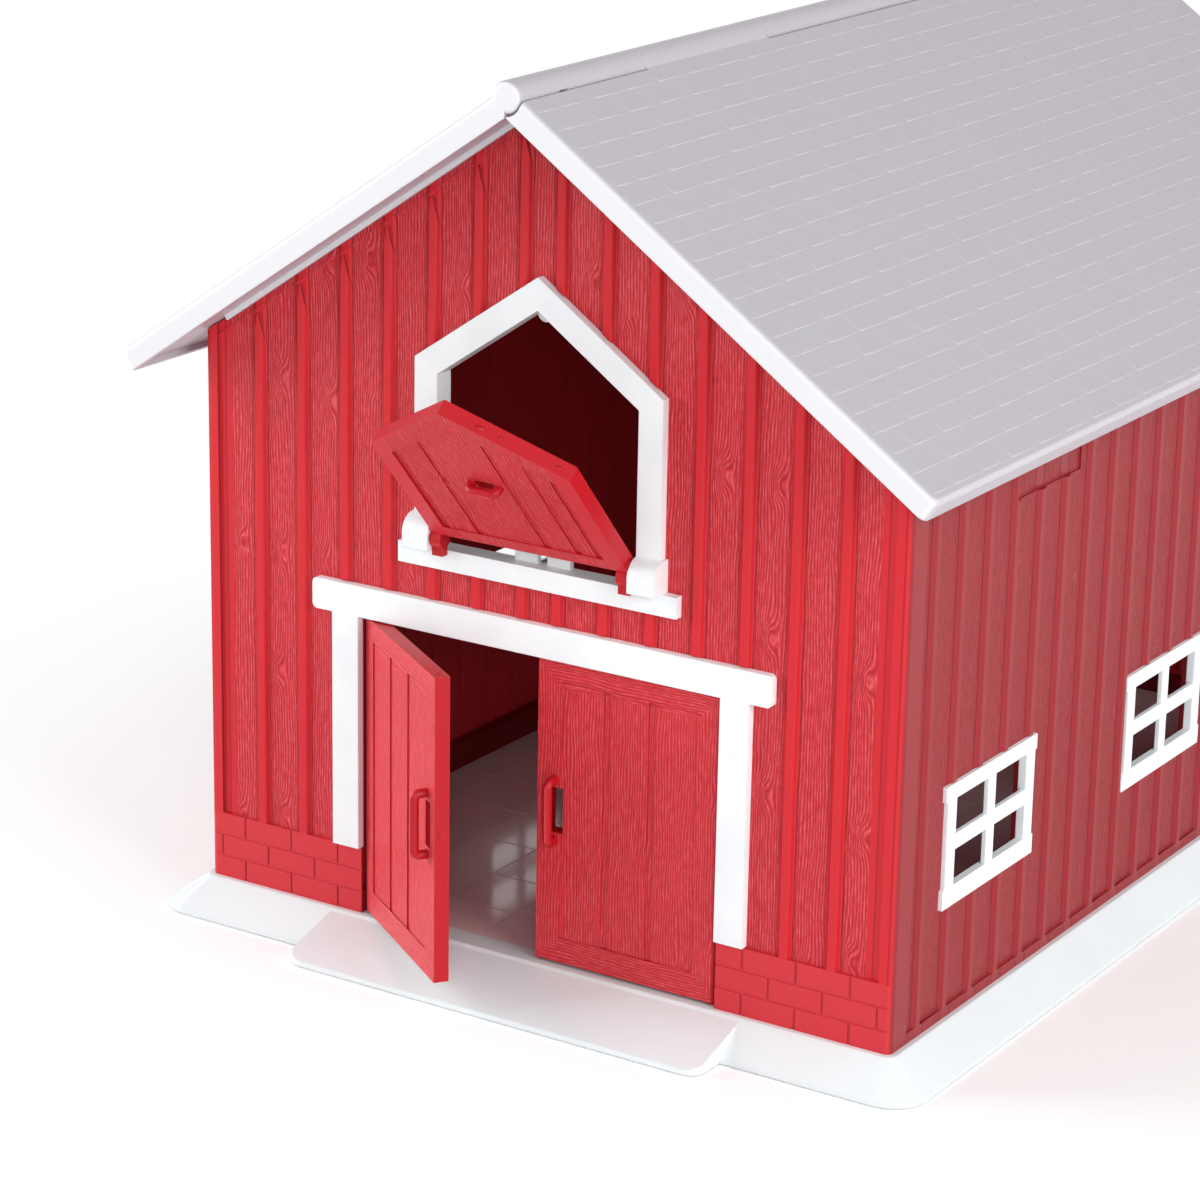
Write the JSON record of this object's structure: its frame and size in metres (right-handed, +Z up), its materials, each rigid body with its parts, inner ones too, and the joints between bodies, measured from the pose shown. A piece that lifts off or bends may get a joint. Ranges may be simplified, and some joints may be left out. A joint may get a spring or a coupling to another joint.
{
  "type": "toy barn with opening doors",
  "caption": "Toy barn with swinging front doors, a drop-down hayloft door, a hinged two-leaf roof, open windows and a base tray with a ramp.",
  "frame": {"origin": "centre of the base tray's underside, below the middle of the walls", "axes": "+Z up, -Y out of the gable with the doors, +Y along the ridge towards the plain gable, +X to the right seen from the front"},
  "size_m": [0.2616, 0.3929, 0.2628],
  "materials": {
    "tray_white": "smooth gloss moulded",
    "trim_white": "smooth satin moulded",
    "wall_red": "moulded wood grain",
    "door_red": "moulded wood grain",
    "roof_grey": "moulded shingles",
    "steel": "plain"
  },
  "bodies": {
    "barn": {"base_tray": "tray_white", "base_screws": "steel", "front_wall": "wall_red", "rear_wall": "wall_red", "left_wall": "wall_red", "right_wall": "wall_red", "door_surround": "trim_white", "hayloft_frame": "trim_white", "ridge_rod": "steel", "window_left_1": "trim_white", "window_left_2": "trim_white", "window_left_3": "trim_white", "window_right_1": "trim_white", "window_right_2": "trim_white", "window_right_3": "trim_white"},
    "left_leaf": {"left_door": "door_red"},
    "right_leaf": {"right_door": "door_red"},
    "loft_leaf": {"hayloft_door": "door_red"},
    "left_roof": {"roof_left": "roof_grey"},
    "right_roof": {"roof_right": "roof_grey"}
  },
  "joints": [
    {"name": "left_door_hinge", "type": "hinge", "parent": "barn", "child": "left_leaf", "pos_m": [-0.0575, -0.1602, 0.055], "axis": [0, 0, 1], "range_deg": [-55, 35]},
    {"name": "right_door_hinge", "type": "hinge", "parent": "barn", "child": "right_leaf", "pos_m": [0.0575, -0.1602, 0.055], "axis": [0, 0, 1], "range_deg": [0, 90]},
    {"name": "hayloft_door_hinge", "type": "hinge", "parent": "barn", "child": "loft_leaf", "pos_m": [0, -0.1662, 0.1295], "axis": [1, 0, 0], "range_deg": [-42, 0]},
    {"name": "left_roof_hinge", "type": "hinge", "parent": "barn", "child": "left_roof", "pos_m": [0, 0, 0.2583], "axis": [0, 1, 0], "range_deg": [0, 90]},
    {"name": "right_roof_hinge", "type": "hinge", "parent": "barn", "child": "right_roof", "pos_m": [0, 0, 0.2583], "axis": [0, -1, 0], "range_deg": [0, 90]}
  ]
}
